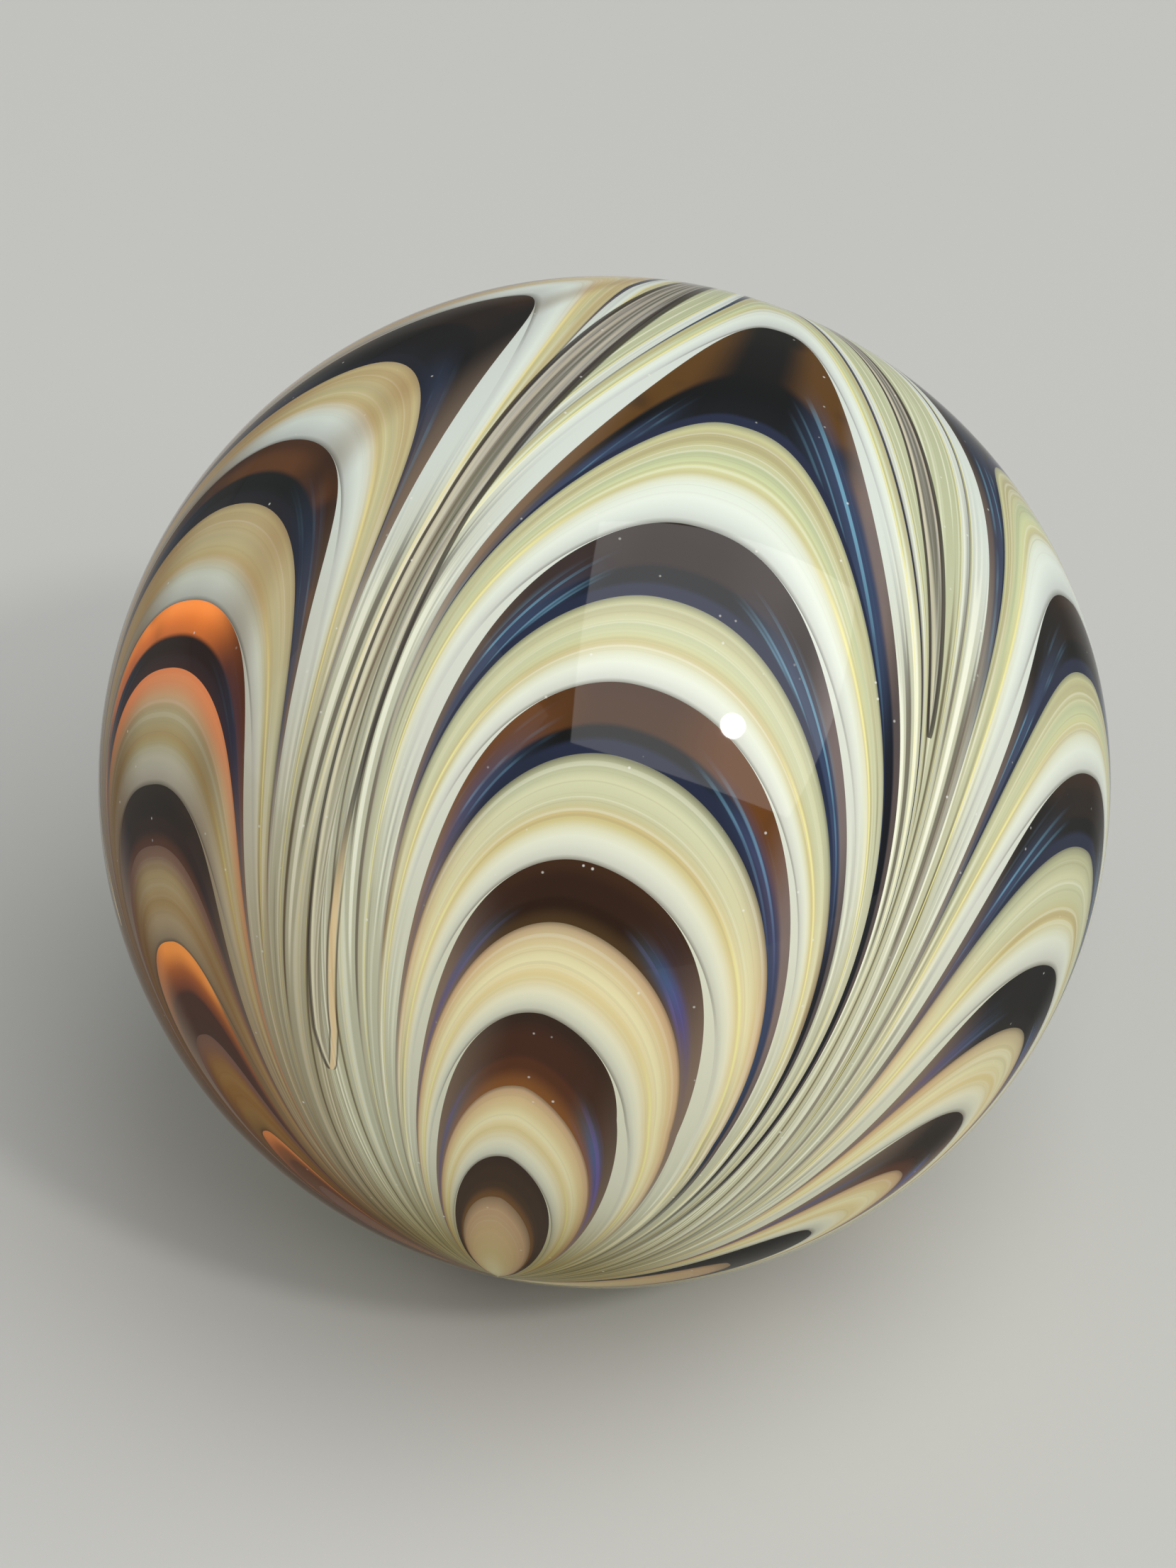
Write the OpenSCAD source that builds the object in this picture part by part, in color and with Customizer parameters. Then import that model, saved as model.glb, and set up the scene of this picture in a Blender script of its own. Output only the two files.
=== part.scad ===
// Glass marble: one solid ball of glass, made at the lamp and fire polished.
// Units are millimetres. The origin is the middle of the ball and +Z is up.

/* [Ball] */
// Diameter of the ball
marble_d = 32; // [12:0.5:60]
// Colour of the glass seen from a step away: its pale bands
glass_colour = [0.78, 0.79, 0.65]; // [0:0.01:1]

/* [Hidden] */
// Facets of the preview; the solid itself is a true sphere
$fn = 128;
marble_r = marble_d / 2;

// The ball, drawn or gathered as one piece, with no flat and no bore
module marble() {
    color(glass_colour)
        sphere(r = marble_r);
}

marble();
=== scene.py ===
"""Looks of a handmade glass marble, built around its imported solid.

The ball is dark amber glass with rings of pale glass laid round it. While it was soft, a pick was drawn
down it several times from the far pole to the near pole, and each stroke dragged the rings along, so they
now stand as nested arches between the strokes. The finish works out that drag for every point. Its colours
are coats laid over one another, in shares that follow from measures of the point.
"""

import logging
import math
from dataclasses import dataclass
from enum import Enum
from functools import reduce

import bpy
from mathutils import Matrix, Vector


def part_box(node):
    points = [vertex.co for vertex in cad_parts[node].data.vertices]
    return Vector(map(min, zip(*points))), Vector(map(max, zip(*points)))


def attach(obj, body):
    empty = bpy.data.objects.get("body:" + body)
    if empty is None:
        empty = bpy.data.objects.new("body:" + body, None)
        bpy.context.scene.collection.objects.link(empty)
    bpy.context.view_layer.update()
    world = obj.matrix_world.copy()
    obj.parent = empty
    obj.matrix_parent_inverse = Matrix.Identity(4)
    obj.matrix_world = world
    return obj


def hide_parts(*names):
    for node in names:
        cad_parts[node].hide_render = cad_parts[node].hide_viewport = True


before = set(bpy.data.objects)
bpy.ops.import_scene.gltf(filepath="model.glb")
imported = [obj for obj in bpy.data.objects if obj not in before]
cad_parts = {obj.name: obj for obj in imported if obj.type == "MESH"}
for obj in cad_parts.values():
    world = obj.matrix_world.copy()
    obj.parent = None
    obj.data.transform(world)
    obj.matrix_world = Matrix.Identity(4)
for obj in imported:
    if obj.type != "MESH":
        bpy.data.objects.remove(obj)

LOG = logging.getLogger("marble")
NODE = "marble"
MM = 0.001
DEGREE = math.pi / 180
HALF_TURN = 180.0

Socket = bpy.types.NodeSocket
Span = tuple[float, float]
Triple = tuple[float, float, float]
Colour = tuple[float, float, float, float]
Stops = dict[float, str]
Measures = dict[str, Socket]


def paint(code: str) -> Colour:
    """Turns a six-digit colour code into a linear colour.

    Args:
        code: Red, green and blue as six hexadecimal digits.

    Returns:
        The colour as linear red, green, blue and an alpha of 1.
    """
    shares = [int(code[i:i + 2], 16) / 255 for i in (0, 2, 4)]
    linear = [s / 12.92 if s <= 0.04045 else ((s + 0.055) / 1.055) ** 2.4 for s in shares]
    return (*linear, 1.0)


@dataclass(frozen=True)
class Grain:
    """How fine a noise pattern is, how many finer layers it has, and how strong they are."""

    scale: float
    detail: float = 2.0
    roughness: float = 0.5


class Kind(Enum):
    """What a Mix node mixes, with its first input and its output."""

    NUMBER = ("FLOAT", 2, 0)
    VECTOR = ("VECTOR", 4, 1)
    COLOUR = ("RGBA", 6, 2)


class Board:
    """A node tree in the course of being wired. Values are sockets or plain values."""

    def __init__(self, tree: bpy.types.NodeTree) -> None:
        """Takes the tree to wire."""
        self.tree = tree

    def feed(self, socket: Socket, value: object) -> None:
        """Links a socket to another, or sets it to a plain value.

        Args:
            socket: The input to feed.
            value: An output socket, a number, a colour or a vector.
        """
        if isinstance(value, Socket):
            self.tree.links.new(value, socket)
        else:
            socket.default_value = value

    def node(self, kind: str, inputs: dict[int | str, object] | None = None,
             **settings: object) -> bpy.types.Node:
        """Adds a node.

        Args:
            kind: The node's type, without its leading "ShaderNode".
            inputs: Values for its inputs, by their places or names.
            settings: Values for the node's own properties.

        Returns:
            The new node.
        """
        made = self.tree.nodes.new("ShaderNode" + kind)
        for name, value in settings.items():
            setattr(made, name, value)
        for name, value in (inputs or {}).items():
            self.feed(made.inputs[name], value)
        return made

    def maths(self, operation: str, *values: object, clamp: bool = False) -> Socket:
        """Adds a Math node, held between 0 and 1 if so told, and returns its result."""
        made = self.node("Math", dict(enumerate(values)), operation=operation, use_clamp=clamp)
        return made.outputs[0]

    def minus(self, first: object, second: object) -> Socket:
        """Takes the second value from the first, and returns the rest."""
        return self.maths("SUBTRACT", first, second)

    def held(self, value: object, least: float, most: float) -> Socket:
        """Holds a value between two numbers, and returns it."""
        return self.maths("MINIMUM", self.maths("MAXIMUM", value, least), most)

    def times(self, *values: object) -> Socket:
        """Multiplies values together, and returns the product."""
        return reduce(lambda product, value: self.maths("MULTIPLY", product, value), values)

    def between(self, share: object, at_none: float, at_full: float) -> Socket:
        """Goes straight from one number at a share of 0 to another at a share of 1."""
        as_it_is = (at_none, at_full) == (0.0, 1.0)
        return share if as_it_is else self.maths("MULTIPLY_ADD", share, at_full - at_none, at_none)

    def step(self, value: object, low: object, high: object, least: float = 0.0, most: float = 1.0,
             smooth: bool = True) -> Socket:
        """Goes from one number to another as a value goes from low to high.

        Args:
            value: What is measured.
            low: Where the result leaves the least.
            high: Where it reaches the most; it may be the lower of the two.
            least: The result at low and before it.
            most: The result at high and past it.
            smooth: Whether the change is eased at its ends.

        Returns:
            The result.
        """
        inputs = dict(enumerate((value, low, high, least, most)))
        made = self.node("MapRange", inputs, interpolation_type="SMOOTHSTEP" if smooth else "LINEAR")
        return made.outputs["Result"]

    def hump(self, value: object, middle: float, half_width: float) -> Socket:
        """Is 1 where a value is at the middle and falls to 0 a half width away, and returns that."""
        return self.step(self.maths("ABSOLUTE", self.minus(value, middle)), half_width, 0.0)

    def dot(self, first: object, second: object) -> Socket:
        """Multiplies two vectors term by term, and returns the sum."""
        return self.node("VectorMath", {0: first, 1: second}, operation="DOT_PRODUCT").outputs["Value"]

    def join(self, x: object, y: object, z: object = 0.0) -> Socket:
        """Joins three values into a vector and returns it."""
        return self.node("CombineXYZ", {0: x, 1: y, 2: z}).outputs[0]

    def split(self, vector: object) -> list[Socket]:
        """Takes a vector or a colour apart, and returns its three values."""
        return list(self.node("SeparateXYZ", {0: vector}).outputs)

    def mix(self, share: object, first: object, second: object, kind: Kind = Kind.COLOUR,
            blend: str = "MIX") -> Socket:
        """Mixes two values.

        Args:
            share: The share of the second value.
            first: The first value.
            second: The second value.
            kind: What is mixed.
            blend: How colours are blended.

        Returns:
            The mixture.
        """
        data_type, start, end = kind.value
        inputs = {0: share, start: first, start + 1: second}
        return self.node("Mix", inputs, data_type=data_type, blend_type=blend).outputs[end]

    def pick(self, passed: list[Socket], values: list[object], kind: Kind = Kind.VECTOR) -> Socket:
        """Picks the value of the lobe that a point lies in.

        Args:
            passed: For each stroke after the first, 1 where the point lies past it.
            values: One value for each lobe.
            kind: What the values are.

        Returns:
            The value.
        """
        result = values[0]
        for gate, value in zip(passed, values[1:]):
            result = self.mix(gate, result, value, kind)
        return result

    def ramp(self, value: object, stops: list[tuple[float, Colour]], stepped: bool = False) -> Socket:
        """Looks a value up in a colour ramp.

        Args:
            value: Where to look, from 0 to 1.
            stops: Places and their colours.
            stepped: Whether each colour holds up to the next stop.

        Returns:
            The colour there.
        """
        made = self.node("ValToRGB", {"Fac": value})
        table = made.color_ramp
        table.interpolation = "CONSTANT" if stepped else "LINEAR"
        table.elements.remove(table.elements[1])
        table.elements[0].position, table.elements[0].color = stops[0]
        for place, colour in stops[1:]:
            table.elements.new(place).color = colour
        return made.outputs["Color"]

    def curve(self, value: object, points: list[Span]) -> Socket:
        """Looks a value up on a line of straight stretches.

        Args:
            value: Where to look, from 0 to 1.
            points: The line's corners, each coordinate from 0 to 1.

        Returns:
            The height of the line there.
        """
        made = self.node("FloatCurve", {"Value": value})
        line = made.mapping.curves[0]
        line.points[0].location = points[0]
        line.points[1].location = points[-1]
        for point in points[1:-1]:
            line.points.new(*point)
        for point in line.points:
            point.handle_type = "VECTOR"
        made.mapping.update()
        return made.outputs["Value"]

    def noise(self, place: object, grain: Grain, sides: str = "3D") -> Socket:
        """Adds a noise pattern.

        Args:
            place: The coordinates that it follows; a single number where sides is 1D.
            grain: How fine it is.
            sides: How many coordinates it follows, as the node names them.

        Returns:
            The pattern's height, about 0.5 on average.
        """
        inputs = {"Scale": grain.scale, "Detail": grain.detail, "Roughness": grain.roughness}
        inputs["W" if sides == "1D" else "Vector"] = place
        return self.node("TexNoise", inputs, noise_dimensions=sides).outputs["Fac"]


@dataclass(frozen=True)
class Shades:
    """Colours across a dark ring.

    They lie at its inner edge, just before the seam that halves it, just after the seam, at its outer edge,
    and where light gets into the flanks of its outer half. Shine is the light that comes through that half.
    """

    inner: str
    before: str
    after: str
    outer: str
    flank: str
    shine: str = "000000"


class Tint(Enum):
    """The kinds of dark glass."""

    INK = Shades("0E1216", "020303", "080704", "14140C", "5E3E12")
    COAL = Shades("0E1218", "060505", "20140A", "34200F", "140E08")
    BLACK = Shades("1E160E", "0E0A06", "0C0906", "0E0B08", "140E08")
    SOOT = Shades("5A3420", "2E1A0E", "20160C", "2A1E14", "3A2414")
    SMOKE = Shades("0C1018", "0A0C10", "2C1E18", "2E221C", "3A2E2A")
    AMBER = Shades("141822", "0A0A08", "4A2C0E", "462A12", "683E16")
    BROWN = Shades("4A3418", "2A1502", "301A0A", "3E2410", "3A2210")
    UMBER = Shades("84501C", "542A0A", "42200A", "2E1A0A", "3A2008")
    BARK = Shades("6E4818", "40280A", "3A240A", "321E0A", "3A240A")
    RUST = Shades("24201E", "101412", "683E1A", "4C2C12", "38200E")
    # In the last three tints the orange after and outer colours, and the shine, are painted glow of light
    # coming through the amber glass.
    GLOW = Shades("402212", "26120A", "EC7E36", "FA924A", "5A2A10", "A65919")
    EMBER = Shades("4A2A1A", "4C2412", "783A1C", "D48A44", "542C18", "94500C")
    CLAY = Shades("6A4228", "6A4026", "80502C", "C47C44", "6A4026", "602E0E")

    @property
    def code(self) -> float:
        """Its place among the tints, from 0 to 1, as a ramp holds it."""
        return (list(Tint).index(self) + 0.5) / len(Tint)


@dataclass(frozen=True)
class Rise:
    """A share that goes from the least to the most as a measure goes from start to full."""

    measure: str
    start: float
    full: float
    least: float = 0.0
    most: float = 1.0
    smooth: bool = True

    def share(self, board: Board, at: Measures) -> Socket:
        """Wires the share, and returns it."""
        return board.step(at[self.measure], self.start, self.full, self.least, self.most, self.smooth)


@dataclass(frozen=True)
class Hump:
    """A share that is 1 where a measure is at the middle, and falls to 0 a half width away."""

    measure: str
    middle: float
    half_width: float

    def share(self, board: Board, at: Measures) -> Socket:
        """Wires the share, and returns it."""
        return board.hump(at[self.measure], self.middle, self.half_width)


@dataclass(frozen=True)
class Slope:
    """A share that goes straight from the least where a measure is 0 to the most where it is 1."""

    measure: str
    least: float = 0.0
    most: float = 1.0

    def share(self, board: Board, at: Measures) -> Socket:
        """Wires the share, and returns it."""
        return board.between(at[self.measure], self.least, self.most)


Rule = Rise | Hump | Slope
Rules = tuple[Rule, ...]


def shared(board: Board, rules: Rules, at: Measures, most: float = 1.0) -> Socket:
    """Multiplies the shares that rules give by one another and by the most, and returns the product."""
    return board.times(*[rule.share(board, at) for rule in rules], most)


@dataclass(frozen=True)
class Ramp:
    """Colours along a measure, by place."""

    measure: str
    stops: Stops

    def colour(self, board: Board, at: Measures) -> Socket:
        """Wires the colour, and returns it."""
        return board.ramp(at[self.measure], [(place, paint(code)) for place, code in self.stops.items()])


@dataclass(frozen=True)
class Shade:
    """One of the shades of the tint that a point has."""

    part: str

    def colour(self, board: Board, at: Measures) -> Socket:
        """Wires the colour, and returns it."""
        stops = [(i / len(Tint), paint(getattr(tint.value, self.part))) for i, tint in enumerate(Tint)]
        return board.ramp(at["code"], stops, stepped=True)


@dataclass(frozen=True)
class Change:
    """A tone that turns into another by its rules."""

    first: "Tone"
    second: "Tone"
    rules: Rules

    def colour(self, board: Board, at: Measures) -> Socket:
        """Wires the colour, and returns it."""
        first, second = [toned(tone, board, at) for tone in (self.first, self.second)]
        return board.mix(shared(board, self.rules, at), first, second)


@dataclass(frozen=True)
class Coat:
    """A tone laid over the glass, in the share that its rules give, times the most."""

    name: str
    tone: "Tone"
    rules: Rules
    most: float = 1.0
    blend: str = "MIX"

    def lay(self, board: Board, glass: object, at: Measures) -> Socket:
        """Lays the coat.

        Args:
            board: The board to wire.
            glass: The colour under the coat.
            at: The point's measures.

        Returns:
            The colour with the coat.
        """
        share = shared(board, self.rules, at, self.most)
        laid = board.mix(share, glass, toned(self.tone, board, at), blend=self.blend)
        laid.node.label = self.name
        return laid


@dataclass(frozen=True)
class Coated:
    """A tone with coats laid over it in order."""

    tone: "Tone"
    coats: tuple[Coat, ...]

    def colour(self, board: Board, at: Measures) -> Colour | Socket:
        """Wires the colour, and returns it."""
        bare = toned(self.tone, board, at)
        return reduce(lambda glass, coat: coat.lay(board, glass, at), self.coats, bare)


Tone = str | Ramp | Shade | Change | Coated


def toned(tone: Tone, board: Board, at: Measures) -> Colour | Socket:
    """Finds the colour that a tone has at a point, and returns it."""
    return paint(tone) if isinstance(tone, str) else tone.colour(board, at)


@dataclass(frozen=True)
class Line:
    """A line from pole to pole on the ball, nearly a meridian.

    Its azimuth in degrees is start, plus lean for each degree from the near pole, plus curl for each
    squared degree past the waist.
    """

    start: float
    lean: float = 0.0
    curl: float = 0.0

    def terms(self, whole_turn: float = 0.0) -> Triple:
        """The line's numbers, with a turn added where it is met from further on."""
        return (self.start + whole_turn, self.lean, self.curl)


@dataclass(frozen=True)
class Band:
    """A ring of dark glass along the crest of an arch, in degrees from the near pole."""

    inner: float
    outer: float
    tint: Tint


@dataclass(frozen=True)
class Flank:
    """How the rings run down one side of a lobe.

    Reach is the drag in degrees that thins the glass about threefold, and roundness is how blunt the arches
    are. Each is given below the waist, at the waist and above it. Tail is the share of a dark ring's width
    that lasts down the flank.
    """

    reach: Triple = (45, 30, 45)
    roundness: Triple = (1.9, 2.1, 2.3)
    tail: float = 0.12


@dataclass(frozen=True)
class Lobe:
    """The arches between two strokes of the pick.

    Warmth is how much amber light gets into the glass at the left stroke, the crest and the right stroke.
    """

    crest: Line
    bands: tuple[Band, ...]
    left: Flank = Flank()
    right: Flank = Flank()
    warmth: Triple = (0.0, 0.0, 0.0)


@dataclass(frozen=True)
class Stroke:
    """One stroke of the pick, and the thin tube of far glass that it drew along.

    The tube ends at the tip, in degrees from the near pole, and closes over the closing length.
    """

    line: Line
    tip: float
    half_width: float
    closing: float

    @property
    def tube(self) -> Triple:
        """The tube's three sizes."""
        return (self.tip, self.half_width, self.closing)


STROKES = (
    Stroke(Line(-83, 0.02, 0.0015), tip=60, half_width=1.4, closing=10),
    Stroke(Line(-41.7, 0.178, 0.0018), tip=43, half_width=1.75, closing=5),
    Stroke(Line(39, -0.06, 0.0015), tip=93, half_width=1.3, closing=25),
    Stroke(Line(86, 0.0, 0.0012), tip=70, half_width=1.4, closing=12),
    Stroke(Line(150, 0.0, 0.001), tip=52, half_width=1.6, closing=8),
    Stroke(Line(213, 0.02, 0.0015), tip=84, half_width=1.3, closing=20),
)


def banded(*bands: tuple[float, float, Tint]) -> tuple[Band, ...]:
    """Makes dark rings from their edges and tints, adds the one at the far pole, and returns them."""
    return tuple(Band(*band) for band in (*bands, (164, 169, Tint.SMOKE)))


LOBES = (
    Lobe(
        Line(-67.5, 0.12, 0.005),
        banded(
            (24, 33, Tint.CLAY), (46, 57, Tint.EMBER), (67.5, 74, Tint.SOOT),
            (86.5, 94, Tint.GLOW), (105.5, 114, Tint.RUST), (126.5, 143.5, Tint.COAL),
        ),
        left=Flank((50, 24, 50), (2.9, 2.4, 2.0)),
        right=Flank((80, 36, 24), (2.0, 2.1, 1.9)),
        warmth=(1.0, 1.0, 0.4),
    ),
    Lobe(
        Line(-5.6, 0.07, 0.003),
        banded(
            (27.7, 34.8, Tint.BARK), (45.2, 54.5, Tint.UMBER), (64.7, 71.4, Tint.BROWN),
            (82.5, 90, Tint.AMBER), (99.5, 108.4, Tint.SMOKE), (123, 145, Tint.INK),
        ),
        left=Flank((80, 29, 54), (2.15, 1.95, 2.15)),
        right=Flank((29, 30, 53), (1.45, 2.05, 2.6), tail=0.55),
    ),
    Lobe(
        Line(72, -0.05),
        banded(
            (27, 36.6, Tint.BLACK), (48.6, 57.8, Tint.SOOT), (69, 76.5, Tint.BLACK),
            (89.8, 97.8, Tint.COAL), (109, 118, Tint.COAL), (135, 160, Tint.COAL),
        ),
        left=Flank((52, 37, 80), (1.8, 2.1, 3.0), tail=0.3),
        right=Flank((34, 25, 35), (2.9, 2.0, 2.0)),
    ),
    Lobe(
        Line(118, 0.0, 0.002),
        banded(
            (25, 33, Tint.BARK), (44, 53, Tint.BROWN), (66, 73, Tint.AMBER),
            (85, 93, Tint.SMOKE), (104, 113, Tint.RUST), (128, 144, Tint.AMBER),
        ),
    ),
    Lobe(
        Line(182, 0.02, 0.002),
        banded(
            (26, 35, Tint.UMBER), (47, 56, Tint.BROWN), (68, 75, Tint.SMOKE),
            (86, 94, Tint.AMBER), (106, 115, Tint.BLACK), (130, 147, Tint.AMBER),
        ),
    ),
    Lobe(
        Line(246, 0.02, 0.003),
        banded(
            (27, 35, Tint.BARK), (45, 54, Tint.UMBER), (66, 72, Tint.BLACK),
            (84, 92, Tint.RUST), (103, 112, Tint.AMBER), (126, 143, Tint.SMOKE),
        ),
        warmth=(0.0, 0.6, 1.0),
    ),
)

# The rules go by a point's measures. In degrees, polar is its distance from the near pole, drag how far a
# stroke has moved the glass there, ring where that glass lay before, and along the way into the dark glass.
# From 0 to 1, across runs from the crest to the stroke, side is 1 right of the crest, course and depth run
# out through the pale and the dark glass of a ring, dark is 1 in the dark glass, tail and lasting say how
# much of a dark ring's width lasts down the flank, and warmth is the share of amber light. Each mask is the
# product of its rules, which may go by the masks before it.
MASKS = {
    "lasting": (Rise("tail", 0.1, 0.5),),
    "inner": (
        Rise("course", 0.22, 0.4), Rise("course", 1.0, 0.88), Rise("ring", 12, 30),
        Rise("polar", 50, 80, 0.45, 1.0),
    ),
    # Glow is where the painted glow of light coming through the amber glass lies in the pale glass.
    "glow": (
        Rise("course", 0.6, 1.0), Rise("ring", 70, 78), Rise("ring", 98, 90), Rise("across", 0.8, 0.3),
        Slope("warmth"),
    ),
    "below": (
        Hump("across", 0.4, 0.24), Hump("depth", 0.28, 0.32), Slope("side", 0.6, 1.0), Rise("ring", 34, 46),
        Slope("warmth", 1.0, 0.0),
    ),
    "faded": (Rise("drag", 24, 48), Rise("tail", 0.5, 0.1)),
    "worn": (Rise("polar", 44, 20), Slope("lasting")),
    "solid": (Slope("dark"), Slope("faded", 1.0, 0.3), Slope("worn", 1.0, 0.35)),
}

PALE = Change(
    Change(
        Ramp("course", {
            0.0: "8E8878", 0.05: "CECEBA", 0.14: "E2E2C8", 0.24: "EEEACA", 0.32: "ECE2B8", 0.39: "E6D69E",
            0.45: "E8D69C", 0.52: "EEE0AC", 0.59: "F2E8B8", 0.66: "ECE0AE", 0.75: "E2CE98", 0.85: "DCC08E",
            0.95: "CAA880", 1.0: "8E7658",
        }),
        Ramp("course", {
            0.0: "8C8A7E", 0.05: "D2D3C5", 0.15: "E0E3D2", 0.23: "E7EAD4", 0.3: "E0E0C0", 0.38: "D2C890",
            0.43: "CEBA80", 0.49: "CDC392", 0.56: "CBC9A0", 0.66: "D2D3AC", 0.77: "D8D9B2", 0.84: "C6C9A4",
            0.92: "B6B896", 1.0: "74745C",
        }),
        (Rise("polar", 58, 77, smooth=False),),
    ),
    Ramp("course", {
        0.0: "8E9088", 0.05: "D0D6CE", 0.14: "DEE6DC", 0.24: "EAF2E6", 0.36: "E6EEDE", 0.42: "E0E4C8",
        0.47: "CEC896", 0.52: "D6D8A2", 0.58: "D2D8A6", 0.66: "BCC49A", 0.72: "CCCDA0", 0.79: "BEB886",
        0.87: "BCB488", 0.93: "CCCA98", 1.0: "96987C",
    }),
    (Rise("polar", 77, 115, smooth=False),),
)
DRAWN = Ramp("threads", {0.31: "5A5038", 0.43: "C2C2A4", 0.53: "C2C2A4", 0.63: "FAFAE0"})
PALE_COATS = (
    Coat("bright threads", "F2F2DC", (Rise("threads", 0.56, 0.68), Slope("inner")), 0.34),
    Coat("dim threads", "A39A76", (Rise("threads", 0.44, 0.32), Slope("inner")), 0.25),
    Coat("drawn threads", DRAWN, (Rise("drag", 20, 52), Rise("polar", 94, 120, 0.85, 0.4))),
    Coat("yellow line", "F4EEA6", (Hump("course", 0.455, 0.055), Rise("drag", 4, 16)), 0.95),
    # Painted shade: the pale glass darker towards the near pole, low on the ball by the floor.
    Coat("foot", "BCAE88", (Rise("polar", 36, 12), Rise("ring", 30, 26, 1.0, 0.4)), blend="MULTIPLY"),
    # Painted shade: the pale glass darker and browner low on the lobes in amber light, for their shadow side
    # and the light coming through the amber.
    Coat("warm shade", "A87E4A", (Rise("polar", 108, 34), Slope("warmth")), blend="MULTIPLY"),
    # Painted shade: darker flanks in full amber light, towards the left rim.
    Coat("warm edge", "BEAA9A", (Rise("across", 0.1, 0.5), Rise("warmth", 0.8, 1.0)), blend="MULTIPLY"),
    # Painted shade: dark brown at the outer edge of the lower pale rings in amber light.
    Coat("blush", "7E5A4C", (Rise("course", 0.7, 0.95), Rise("ring", 82, 76), Slope("warmth")), 0.8),
    # Painted amber light: a peach tint in the upper pale rings where amber light falls.
    Coat("tinge", "E8B878", (Rise("polar", 70, 95), Rise("course", 0.26, 0.48), Slope("warmth")), 0.35),
    # Painted glow: orange light coming through the amber glass into the pale glass.
    Coat("amber glow", "EE8A54", (Slope("glow"),), 0.8),
)

# High is the upper half of the ball, outward the way into the outer half of a ring, and cool all glass but
# that in amber light.
HIGH = (Rise("polar", 55, 85),)
OUTWARD = (0.42, 0.62)
COOL = Slope("warmth", 1.0, 0.2)
DARK = Change(
    Change(Shade("inner"), Shade("before"), (Rise("depth", 0.02, 0.3),)),
    Change(
        Change(Shade("after"), Shade("outer"), (Rise("depth", 0.68, 0.96),)),
        Shade("flank"),
        (Rise("across", 0.1, 0.38), Rise("cloud", 0.3, 0.5)),
    ),
    (Rise("seam", 0.36, 0.46),),
)
LOW_SHEEN = Ramp("across", {0.22: "5E6E66", 0.34: "48648E", 0.44: "54508A", 0.56: "6E5C7C"})
DARK_COATS = (
    Coat(
        "cooled flank", Change("3A4864", "847672", (Rise("depth", *OUTWARD),)),
        (Rise("across", 0.5, 0.68), Slope("lasting")), 0.8,
    ),
    Coat(
        "tail", "0E1016",
        (Rise("across", 0.75, 0.86), Slope("lasting"), Rise("depth", *OUTWARD, 1.0, 0.55)),
    ),
    Coat("smoke", "947F6C", (Rise("smoked", 0.46, 0.92), Slope("lasting", 0.85, 0.0), Rise("ring", 34, 46))),
    Coat("sheen", Change(LOW_SHEEN, "3A4864", HIGH), (Slope("sheen"),)),
    Coat(
        "streaks", Change("6C5C9A", "7CB4CC", HIGH),
        (Slope("sheen"), Rise("fine", 0.52, 0.62), Rise("cloud", 0.66, 0.48), COOL), 0.8,
    ),
    Coat("navy line", "232A40", (Rise("along", 1.9, 1.14), Rise("polar", 66, 86), COOL)),
)

HEART = Ramp("stripes", {0.34: "4E4644", 0.46: "938C8C", 0.64: "BAB09E"})
WALL = Change("2A201C", "FADAA4", (Rise("polar", 74, 60), Slope("side", 1.0, 0.0)))
TUBE_COATS = (
    Coat("tube heart", HEART, (Slope("heart"), Rise("polar", 72, 122, 0.22, 0.8))),
    Coat("tube lining", "EEE8C6", (Slope("lining"), Rise("polar", 72, 122, 0.9, 0.4))),
    Coat("tube wall", WALL, (Slope("wall"), Rise("polar", 72, 122, 0.8, 0.9))),
    Coat("tube rim", "5A4022", (Slope("rim"),), 0.85),
    Coat("tiny bubbles", "F2F2E8", (Rise("bubble", 0.07, 0.025), Slope("chance", 0.15, 0.75))),
)
GLASS = Coated(Change(Coated(PALE, PALE_COATS), Coated(DARK, DARK_COATS), (Slope("solid"),)), TUBE_COATS)

# Painted glow: emission that stands in for light coming through the amber glass, in the outer half of the
# dark rings and in the pale glass beside them.
LIT = (Slope("dark"), Rise("depth", 0.45, 0.95), Slope("lit"), Slope("warmth"))
SHINE = Coated("000000", (
    Coat("amber rings", Shade("shine"), LIT),
    Coat("amber glow", "6A3414", (Slope("glow"), Slope("dark", 1.0, 0.0))),
))


@dataclass(frozen=True)
class Drag:
    """What all strokes share, in degrees.

    Reach and roundness are given below the waist, at it and above it, and hold still before the lowest
    and past the highest place. Seal keeps the drag at a stroke from running away. A dark ring is down to
    half its width where the drag is thinning, and thinning rate is how fast it gets there.
    """

    below: float = 50.0
    waist: float = 90.0
    above: float = 130.0
    lowest: float = 8.0
    highest: float = 150.0
    seal: float = 0.03
    thinning: float = 17.0
    thinning_rate: float = 3.0
    least_roundness: float = 1.35


@dataclass(frozen=True)
class Rings:
    """How a ring is shared out between pale and dark glass.

    Most is the number of rings that a lobe can count. Lost edge is where the pale glass seems to start once
    the dark glass beside it has been drawn away. First phase is where the count stands at the near pole, and
    last phase how far it runs on past the last ring. Of a dark ring's width the near tail lasts down its
    flanks close to the near pole, and the lobe's own tail in the lasting rings.
    """

    pale_share: float = 0.6
    most: float = 8.0
    lost_edge: float = 0.12
    first_phase: float = 0.3
    last_phase: float = 0.4
    near_rings: Span = (46.0, 36.0)
    near_tail: float = 0.45
    lasting_rings: Span = (74.0, 84.0)
    width_scale: float = 90.0


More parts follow.
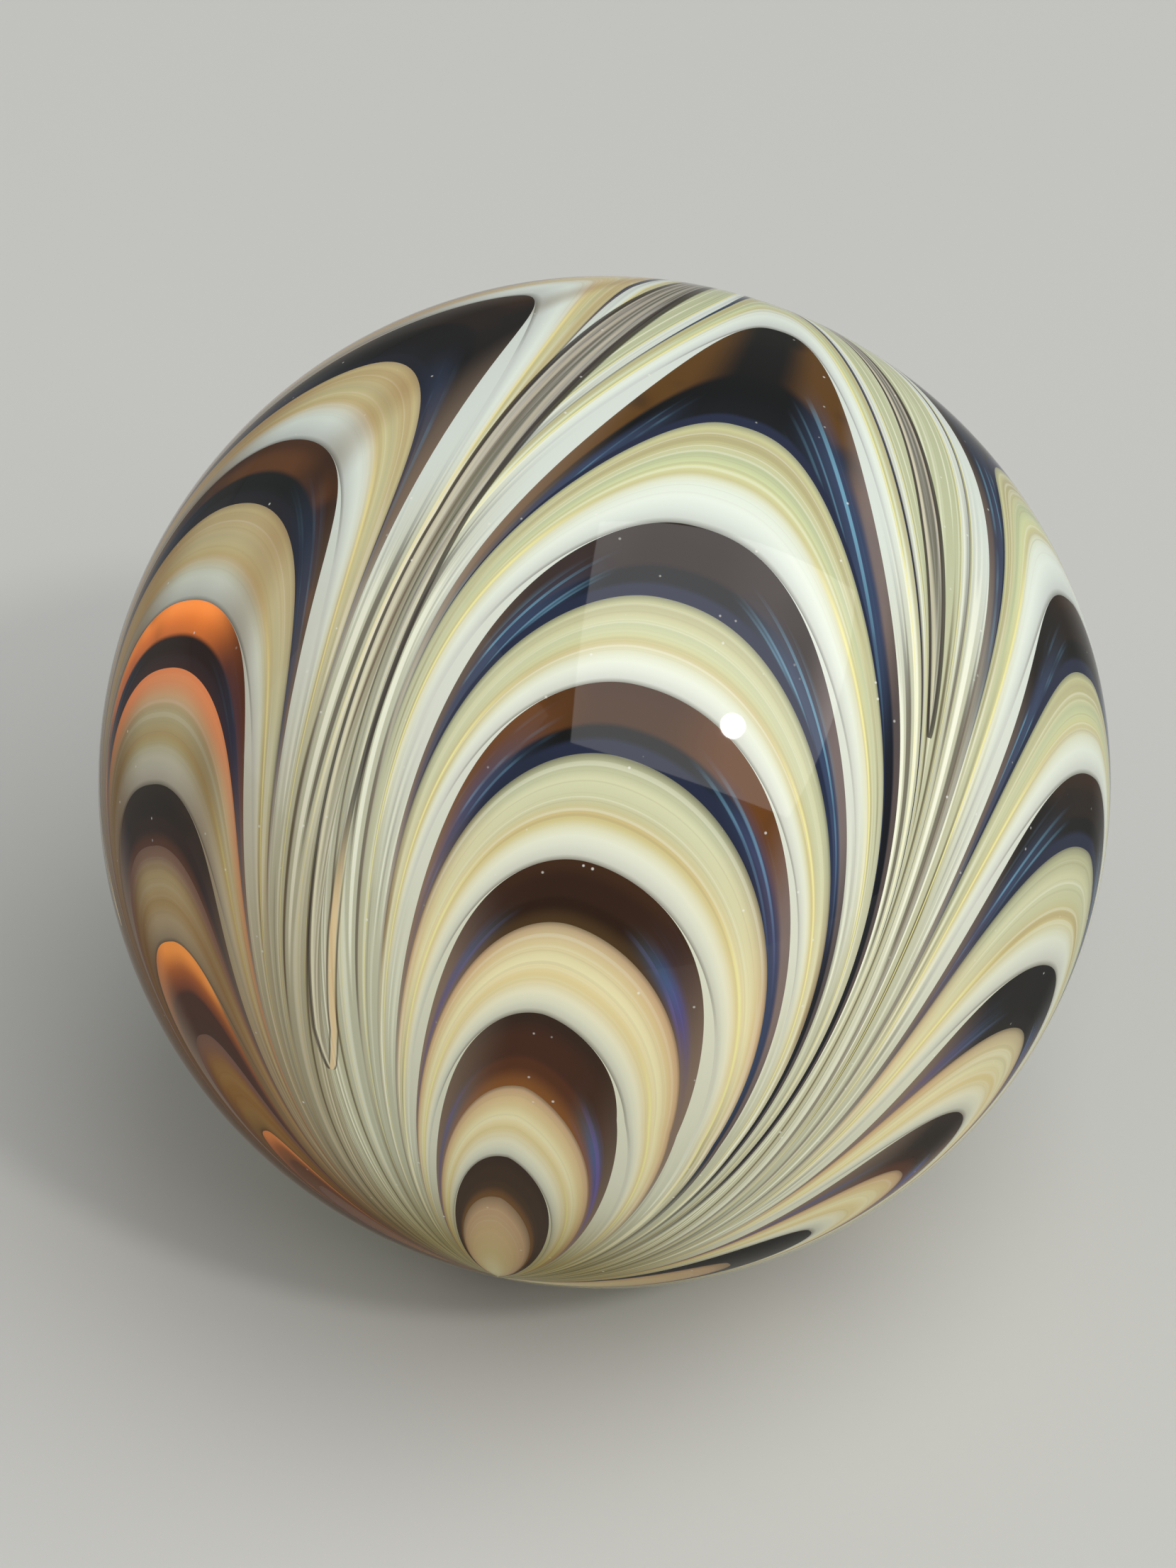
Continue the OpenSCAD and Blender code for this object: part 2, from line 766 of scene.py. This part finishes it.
@dataclass(frozen=True)
class Tube:
    """The walls of the tubes that the strokes drew along, in degrees of azimuth.

    They flare above the waist by the flare rate for each degree, the more the wider the tube is than the
    flare width. Right walls are its share in the broad span, low down, and out of it.
    """

    flare_from: float = 105.0
    flare_width: float = 1.195
    flare_rate: float = 0.082
    flare_wall: float = 0.3
    wall_width: float = 0.26
    left_wall: float = 0.8
    right_walls: Span = (1.25, 2.0)
    broad_span: Span = (76.0, 58.0)
    wall_edge: Span = (1.15, 0.7)
    rim_place: Span = (1.35, 0.5)
    lining_place: Span = (0.528, 0.456)


@dataclass(frozen=True)
class Noise:
    """The noise that breaks the colours up, on the ball's directions or along the rings.

    Each grain of the threads takes over from the one before between two drags, so that drawn glass has
    coarser ones. A slant leans a pattern over: the streaks along a flank, the stripes up a tube.
    """

    threads: tuple[Grain, ...] = (Grain(1.1, 2.0, 0.6), Grain(0.34, 1.6), Grain(0.10, 1.6), Grain(0.03, 1.6))
    takeovers: tuple[Span, ...] = ((12.0, 26.0), (32.0, 52.0), (64.0, 90.0))
    cloud: Grain = Grain(5.0)
    streaks: Grain = Grain(16.0, 1.0)
    streak_slant: float = 0.35
    stripes: Grain = Grain(1.3, 2.0, 0.6)
    stripe_slant: float = 0.012
    bubble_cells: float = 20.0


@dataclass(frozen=True)
class Light:
    """Where light and smoke play over the dark glass.

    Smoke early, lit start and lit full are each given left and right of the crest. The sheen lies in the
    middle of a flank, at one width into a short ring and at one depth of a lasting one.
    """

    warm_flank: Span = (0.2, 1.0)
    seam_warm: float = -0.08
    smoke_span: Span = (85.0, 50.0)
    smoke_early: Span = (0.38, 0.22)
    sheen_flank: Span = (0.56, 0.36)
    sheen_width: Span = (2.8, 4.3)
    sheen_depth: Span = (0.28, 0.42)
    sheen_share: float = 0.9
    sheen_warm: float = 0.4
    lit_start: Span = (0.62, 0.46)
    lit_full: Span = (0.22, 0.14)


class RakedGlass:
    """The finish of the ball. It measures each point of the ball step by step, and then lays the coats."""

    roughness = 0.03
    bend_of_light = 1.38
    gloss = (0.5, 0.02)
    gloss_fall = (0.25, 0.75)

    def __init__(self, turn_deg: Triple) -> None:
        """Starts the material.

        Args:
            turn_deg: Turns about X, Y and Z that bring +Z to the far pole and +X to the front meridian.
        """
        self.turn_deg = turn_deg
        self.drag = Drag()
        self.rings = Rings()
        self.tubes = Tube()
        self.noise = Noise()
        self.light = Light()
        self.at: Measures = {}
        self.passed: list[Socket] = []
        self.made = bpy.data.materials.new("raked glass")
        self.made.use_nodes = True
        self.made.node_tree.nodes.clear()
        self.board = Board(self.made.node_tree)

    def _phase_points(self, lobe: Lobe) -> list[Span]:
        """Places a lobe's rings on a line whose whole part counts them.

        Args:
            lobe: The lobe.

        Returns:
            Corners of that line: place as a share of the half turn, and phase as a share of the most rings.
        """
        rings = self.rings
        points = [(0.0, rings.first_phase)]
        for count, band in enumerate(lobe.bands):
            points.append((band.inner, count + rings.pale_share))
            points.append((band.outer, count + 1.0))
        points.append((HALF_TURN, len(lobe.bands) + rings.last_phase))
        return [(place / HALF_TURN, phase / rings.most) for place, phase in points]

    def _tint_stops(self, lobe: Lobe) -> list[tuple[float, Colour]]:
        """Spreads a lobe's tints and widths over a stepped ramp.

        Args:
            lobe: The lobe.

        Returns:
            Stops that hold each tint's code in red and the ring's width in green, from the middle of the
            pale glass before the ring.
        """
        stops = []
        edge = -lobe.bands[0].inner
        for band in lobe.bands:
            width = (band.outer - band.inner) / self.rings.width_scale
            stops.append(((edge + band.inner) / 2 / HALF_TURN, (band.tint.code, width, 0.0, 1.0)))
            edge = band.outer
        return stops

    def _by_side(self, left: list[Triple], right: list[Triple]) -> Socket:
        """Picks three numbers by lobe and then by side of its crest, and returns them."""
        picked = [self.board.pick(self.passed, values) for values in (left, right)]
        return self.board.mix(self.at["side"], *picked, Kind.VECTOR)

    def _law_weights(self) -> Socket:
        """Works out how much the three numbers of a law count at a distance from the near pole.

        Returns:
            The weights, of a parabola through the three numbers.
        """
        board, drag = self.board, self.drag
        held = board.held(self.at["polar"], drag.lowest, drag.highest)
        knots = (drag.below, drag.waist, drag.above)
        away = [board.minus(held, knot) for knot in knots]
        weights = []
        for count, knot in enumerate(knots):
            first, second = [other for other in range(len(knots)) if other != count]
            scale = 1 / ((knot - knots[first]) * (knot - knots[second]))
            weights.append(board.times(away[first], away[second], scale))
        return board.join(*weights)

    def _find_place(self) -> None:
        """Measures where a point lies: its direction, its distance from the near pole and its azimuth."""
        board, at = self.board, self.at
        turn = [angle * DEGREE for angle in self.turn_deg]
        inputs = {"Vector": board.node("TexCoord").outputs["Object"], "Rotation": turn}
        turned = board.node("Mapping", inputs, vector_type="TEXTURE").outputs[0]
        at["unit"] = board.node("VectorMath", {0: turned}, operation="NORMALIZE").outputs[0]
        front, side, up = board.split(at["unit"])
        at["polar"] = board.maths("DEGREES", board.maths("ARCCOSINE", board.times(up, -1.0)))
        at["azimuth"] = board.maths("DEGREES", board.maths("ARCTAN2", side, front))

    def _find_lobe(self) -> None:
        """Finds the strokes that a point lies past, and its side of the crest between them."""
        board, at = self.board, self.at
        past = board.maths("MAXIMUM", board.minus(at["polar"], self.drag.waist), 0.0)
        at["basis"] = board.join(1.0, at["polar"], board.times(past, past))
        first, *others = [board.dot(stroke.line.terms(), at["basis"]) for stroke in STROKES]
        turned = board.maths("WRAP", board.minus(at["azimuth"], first), 2 * HALF_TURN, 0.0)
        at["azimuth"] = board.maths("ADD", turned, first)
        self.passed = [board.maths("GREATER_THAN", at["azimuth"], other) for other in others]
        at["crest"] = board.dot(board.pick(self.passed, [lobe.crest.terms() for lobe in LOBES]), at["basis"])
        at["side"] = board.maths("GREATER_THAN", at["azimuth"], at["crest"])

    def _drag_rings(self) -> None:
        """Measures how far the stroke beside a point has dragged the glass."""
        board, at = self.board, self.at
        starts = [stroke.line.terms() for stroke in STROKES]
        ends = [*starts[1:], STROKES[0].line.terms(2 * HALF_TURN)]
        edge = board.dot(self._by_side(starts, ends), at["basis"])
        lefts = [lobe.left for lobe in LOBES]
        rights = [lobe.right for lobe in LOBES]
        reach = self._by_side([flank.reach for flank in lefts], [flank.reach for flank in rights])
        blunt = self._by_side([flank.roundness for flank in lefts], [flank.roundness for flank in rights])
        weights = self._law_weights()
        roundness = board.maths("MAXIMUM", board.dot(blunt, weights), self.drag.least_roundness)
        room = board.minus(edge, at["crest"])
        at["across"] = board.maths("DIVIDE", board.minus(at["azimuth"], at["crest"]), room, clamp=True)
        bent = board.maths("POWER", at["across"], roundness)
        fall = board.maths("LOGARITHM", board.between(bent, 1.0, self.drag.seal), math.e)
        at["drag"] = board.times(fall, -1.0, board.dot(reach, weights))
        at["away"] = board.maths("ABSOLUTE", board.minus(edge, at["azimuth"]))
        at["ring"] = board.maths("ADD", at["polar"], at["drag"])

    def _draw_tube(self) -> None:
        """Measures the tube's walls, the rim beside them, the heart between them and the left lining."""
        board, at, tube = self.board, self.at, self.tubes
        sizes = [stroke.tube for stroke in STROKES]
        tip, width, closing = board.split(self._by_side(sizes, sizes[1:] + sizes[:1]))
        length = board.minus(at["polar"], tip)
        inside = board.maths("GREATER_THAN", length, 0.0)
        opened = board.maths("SQRT", board.maths("DIVIDE", length, closing, clamp=True))
        beyond = board.maths("MAXIMUM", board.minus(at["polar"], tube.flare_from), 0.0)
        flare = board.times(beyond, board.minus(width, tube.flare_width), tube.flare_rate)
        half = board.maths("ADD", board.times(width, opened), flare)
        broad = board.step(at["polar"], *tube.broad_span)
        right_wall = board.between(broad, *tube.right_walls)
        share = board.mix(at["side"], right_wall, tube.left_wall, Kind.NUMBER)
        thick = board.times(board.maths("MULTIPLY_ADD", flare, tube.flare_wall, tube.wall_width), share)
        gap = board.maths("DIVIDE", board.maths("ABSOLUTE", board.minus(at["away"], half)), thick)
        lining = board.hump(board.minus(half, at["away"]), *tube.lining_place)
        at["wall"] = board.times(board.step(gap, *tube.wall_edge), inside)
        at["rim"] = board.times(board.hump(gap, *tube.rim_place), inside, broad)
        at["heart"] = board.times(board.maths("LESS_THAN", at["away"], half), inside)
        at["lining"] = board.times(lining, inside, at["side"])

    def _count_rings(self) -> None:
        """Measures which ring a point lies in, and how much of its width lasts."""
        board, at, rings, passed = self.board, self.at, self.rings, self.passed
        place = board.maths("DIVIDE", at["ring"], HALF_TURN, clamp=True)
        counts = [board.curve(place, self._phase_points(lobe)) for lobe in LOBES]
        at["phase"] = board.times(board.pick(passed, counts, Kind.NUMBER), rings.most)
        codes = [board.ramp(place, self._tint_stops(lobe), stepped=True) for lobe in LOBES]
        at["code"], width, _ = board.split(board.pick(passed, codes))
        at["width"] = board.times(width, rings.width_scale)
        tails = board.pick(passed, [(lobe.left.tail, lobe.right.tail, 0.0) for lobe in LOBES])
        left, right, _ = board.split(tails)
        tail = board.mix(at["side"], left, right, Kind.NUMBER)
        at["tail"] = board.times(tail, board.step(at["ring"], *rings.lasting_rings))

    def _cut_rings(self) -> None:
        """Cuts the rings into pale and dark glass, and measures where in them a point lies."""
        board, at, drag, rings = self.board, self.at, self.drag, self.rings
        near_tail = board.step(at["ring"], *rings.near_rings, 0.0, rings.near_tail)
        part = board.maths("FRACT", at["phase"])
        thin = board.maths("POWER", board.maths("DIVIDE", at["drag"], drag.thinning), drag.thinning_rate)
        thinned = board.maths("DIVIDE", 1.0, board.maths("ADD", 1.0, thin))
        width = board.mix(board.maths("MAXIMUM", at["tail"], near_tail), thinned, 1.0, Kind.NUMBER)
        beyond = board.minus(part, rings.pale_share)
        depth = board.maths("DIVIDE", beyond, board.times(width, 1 - rings.pale_share))
        started = board.maths("GREATER_THAN", depth, 0.0)
        least = board.between(width, rings.lost_edge, 0.0)
        course = board.maths("MAXIMUM", board.maths("DIVIDE", part, rings.pale_share), least)
        at["course"] = board.mix(started, course, rings.lost_edge, Kind.NUMBER)
        at["dark"] = board.times(started, board.maths("LESS_THAN", depth, 1.0))
        at["depth"] = board.held(depth, 0.0, 1.0)
        at["along"] = board.times(at["depth"], at["width"])

    def _add_noise(self) -> None:
        """Measures the noise at a point, and the tiny bubbles."""
        board, at, noise = self.board, self.at, self.noise
        threads, *others = [board.noise(at["ring"], grain, sides="1D") for grain in noise.threads]
        for coarser, takeover in zip(others, noise.takeovers):
            threads = board.mix(board.step(at["drag"], *takeover), threads, coarser, Kind.NUMBER)
        at["threads"] = threads
        at["cloud"] = board.noise(at["unit"], noise.cloud)
        slanted = board.maths("MULTIPLY_ADD", at["across"], noise.streak_slant, at["phase"])
        at["fine"] = board.noise(slanted, noise.streaks, sides="1D")
        leaning = board.join(at["away"], board.times(at["polar"], noise.stripe_slant))
        at["stripes"] = board.noise(leaning, noise.stripes, sides="2D")
        cells = board.node("TexVoronoi", {"Vector": at["unit"], "Scale": noise.bubble_cells})
        at["bubble"] = cells.outputs["Distance"]
        at["chance"] = board.split(cells.outputs["Color"])[0]

    def _add_light(self) -> None:
        """Measures the share of amber light at a point, then the masks, and then the smoke and the sheen."""
        board, at, light, passed = self.board, self.at, self.light, self.passed
        left, middle, right = board.split(board.pick(passed, [lobe.warmth for lobe in LOBES]))
        edge = board.mix(at["side"], left, right, Kind.NUMBER)
        at["warmth"] = board.mix(board.step(at["across"], *light.warm_flank), middle, edge, Kind.NUMBER)
        at["seam"] = board.maths("MULTIPLY_ADD", at["warmth"], light.seam_warm, at["depth"])
        for name, rules in MASKS.items():
            at[name] = shared(board, rules, at)
        early = board.between(at["side"], *light.smoke_early)
        low = board.step(at["polar"], *light.smoke_span)
        at["smoked"] = board.maths("MULTIPLY_ADD", early, low, at["across"])
        by_width = board.hump(at["along"], *light.sheen_width)
        by_depth = board.hump(at["depth"], *light.sheen_depth)
        inward = board.mix(at["lasting"], by_width, by_depth, Kind.NUMBER)
        above = board.times(board.hump(at["across"], *light.sheen_flank), inward)
        sheen = board.mix(shared(board, HIGH, at), at["below"], above, Kind.NUMBER)
        cool = board.between(at["warmth"], 1.0, light.sheen_warm)
        at["sheen"] = board.times(sheen, light.sheen_share, cool)
        start, full = [board.between(at["side"], *ends) for ends in (light.lit_start, light.lit_full)]
        at["lit"] = board.step(at["across"], start, full)

    def material(self) -> bpy.types.Material:
        """Wires the whole finish.

        Returns:
            The material.
        """
        self._find_place()
        self._find_lobe()
        self._drag_rings()
        self._draw_tube()
        self._count_rings()
        self._cut_rings()
        self._add_noise()
        self._add_light()
        board = self.board
        edge_on = board.step(board.node("LayerWeight").outputs["Facing"], *self.gloss_fall)
        shader = board.node("BsdfPrincipled", {
            "Base Color": toned(GLASS, board, self.at),
            # The emission is the painted glow of light coming through the amber glass.
            "Emission Color": toned(SHINE, board, self.at),
            "Emission Strength": 1.0,
            "Roughness": self.roughness,
            "IOR": self.bend_of_light,
            "Specular IOR Level": board.between(edge_on, *self.gloss),
        })
        board.node("OutputMaterial", {"Surface": shader.outputs[0]})
        return self.made


@dataclass
class Ball:
    """The ball of glass, true but for the faint waves that hand work leaves."""

    radius: float
    cuts: int = 95
    weld: float = 0.001 * MM
    wave_height: float = 0.012 * MM
    wave_length: float = 7.0 * MM

    def build(self) -> bpy.types.Object:
        """Rounds a finely cut block into the ball and waves its skin.

        Returns:
            The ball, as one closed mesh at the origin.
        """
        bpy.ops.object.select_all(action="DESELECT")
        bpy.ops.mesh.primitive_cube_add(size=self.radius * 2)
        ball = bpy.context.object
        ball.name = "ball"
        bpy.ops.object.mode_set(mode="EDIT")
        bpy.ops.mesh.select_all(action="SELECT")
        bpy.ops.mesh.subdivide(number_cuts=self.cuts)
        bpy.ops.mesh.remove_doubles(threshold=self.weld)
        bpy.ops.transform.tosphere(value=1.0)
        bpy.ops.object.mode_set(mode="OBJECT")
        for vertex in ball.data.vertices:
            vertex.co = vertex.co.normalized() * self.radius
        self._wave(ball)
        bpy.ops.object.shade_smooth()
        return ball

    def _wave(self, ball: bpy.types.Object) -> None:
        """Raises faint waves on the skin.

        Args:
            ball: The ball.
        """
        clouds = bpy.data.textures.new("hand waves", "CLOUDS")
        clouds.noise_scale = self.wave_length
        clouds.noise_depth = 1
        waves = ball.modifiers.new("waves", "DISPLACE")
        waves.texture = clouds
        waves.texture_coords = "LOCAL"
        waves.strength = self.wave_height
        waves.mid_level = 0.5
        bpy.ops.object.modifier_apply(modifier=waves.name)

    def dress(self, ball: bpy.types.Object, finish: bpy.types.Material) -> None:
        """Gives the ball its finish and its place in the frame.

        Args:
            ball: The ball.
            finish: Its material.
        """
        ball.data.materials.append(finish)
        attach(ball, "root")
        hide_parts(NODE)


class Outline(Enum):
    """The outline of a lamp."""

    SQUARE = "RECTANGLE"
    ROUND = "ELLIPSE"


@dataclass
class Lamp:
    """A flat soft lamp that faces the ball, as broad as it is high."""

    name: str
    towards: Triple
    distance: float
    width: float
    radiance: float
    colour: Triple = (1.0, 1.0, 1.0)
    outline: Outline = Outline.SQUARE
    roll_deg: float = 0.0

    def hang(self) -> None:
        """Hangs the lamp in its place."""
        data = bpy.data.lights.new(self.name, "AREA")
        data.shape = self.outline.value
        data.size = data.size_y = self.width
        data.energy = self.radiance * math.pi * self.width ** 2
        data.color = self.colour
        lamp = bpy.data.objects.new(self.name, data)
        bpy.context.collection.objects.link(lamp)
        direction = Vector(self.towards).normalized()
        lamp.location = direction * self.distance
        lamp.rotation_euler = direction.to_track_quat("Z", "Y").to_euler()
        lamp.rotation_euler.rotate_axis("Z", self.roll_deg * DEGREE)


LAMPS = (
    Lamp("window", towards=(0.39, -0.32, 0.86), distance=1.36, width=1.44, radiance=2.36, roll_deg=35.0),
    Lamp("fill", towards=(-0.75, -0.35, 0.55), distance=1.50, width=1.60, radiance=0.4),
    Lamp(
        "key", towards=(0.46, -0.53, 0.71), distance=2.40, width=0.22, radiance=62.0,
        colour=(1.0, 0.98, 0.94), outline=Outline.ROUND,
    ),
)


@dataclass
class Studio:
    """The floor, the light and the camera. Camera range, side and rise are in radii of the ball."""

    radius: float
    pitch_deg: float = 40.0
    camera_range: float = 8.5
    camera_side: float = -0.0324
    camera_rise: float = 0.0035
    lens: float = 98.15
    floor_size: float = 1.6
    floor_colour: str = "CACAC6"
    floor_roughness: float = 0.8
    world_colour: str = "F0F2F4"
    world_strength: float = 0.27
    shown_strength: float = 0.45

    def build(self) -> None:
        """Sets everything up."""
        self._floor()
        self._world()
        for lamp in LAMPS:
            lamp.hang()
        self._camera()

    def _floor(self) -> None:
        """Lays the floor under the ball."""
        bpy.ops.object.select_all(action="DESELECT")
        bpy.ops.mesh.primitive_plane_add(size=self.floor_size, location=(0, 0, -self.radius))
        floor = bpy.context.object
        floor.name = "floor"
        made = bpy.data.materials.new("floor")
        made.use_nodes = True
        shader = made.node_tree.nodes["Principled BSDF"]
        shader.inputs["Base Color"].default_value = paint(self.floor_colour)
        shader.inputs["Roughness"].default_value = self.floor_roughness
        floor.data.materials.append(made)

    def _world(self) -> None:
        """Lights the room evenly, and shows a pale backdrop."""
        world = bpy.data.worlds.new("room")
        bpy.context.scene.world = world
        world.use_nodes = True
        world.node_tree.nodes.clear()
        board = Board(world.node_tree)
        path = board.node("LightPath").outputs
        shown = board.maths("MAXIMUM", path["Is Camera Ray"], path["Is Glossy Ray"])
        shown = board.maths("MAXIMUM", shown, path["Is Transmission Ray"])
        strength = board.between(shown, self.world_strength, self.shown_strength)
        back = board.node("Background", {"Color": paint(self.world_colour), "Strength": strength})
        board.node("OutputWorld", {"Surface": back.outputs[0]})

    def _camera(self) -> None:
        """Sets the camera up, looking down on the ball."""
        data = bpy.data.cameras.new("camera")
        data.lens = self.lens
        data.clip_start = MM
        camera = bpy.data.objects.new("camera", data)
        bpy.context.collection.objects.link(camera)
        pitch = self.pitch_deg * DEGREE
        back = Vector((0.0, -math.cos(pitch), math.sin(pitch)))
        up = Vector((0.0, math.sin(pitch), math.cos(pitch)))
        side = Vector((1.0, 0.0, 0.0))
        place = back * self.camera_range + side * self.camera_side - up * self.camera_rise
        camera.location = place * self.radius
        camera.rotation_euler = (math.pi / 2 - pitch, 0.0, 0.0)
        bpy.context.scene.camera = camera


def main() -> None:
    """Builds the marble and its surroundings in order."""
    logging.basicConfig(level=logging.INFO, format="%(name)s: %(message)s")
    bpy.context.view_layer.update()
    low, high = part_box(NODE)
    radius = (high[2] - low[2]) / 2
    Studio(radius).build()
    LOG.info("studio: floor, lamps and camera around a ball of radius %.4f m", radius)
    ball_maker = Ball(radius)
    ball = ball_maker.build()
    LOG.info("ball: %d faces", len(ball.data.polygons))
    finish = RakedGlass((-14.6, -50.0, -86.6))
    ball_maker.dress(ball, finish.material())
    LOG.info("finish: raked glass, %d lobes", len(LOBES))
    bpy.context.scene.view_settings.view_transform = "Standard"


if __name__ == "__main__":
    main()
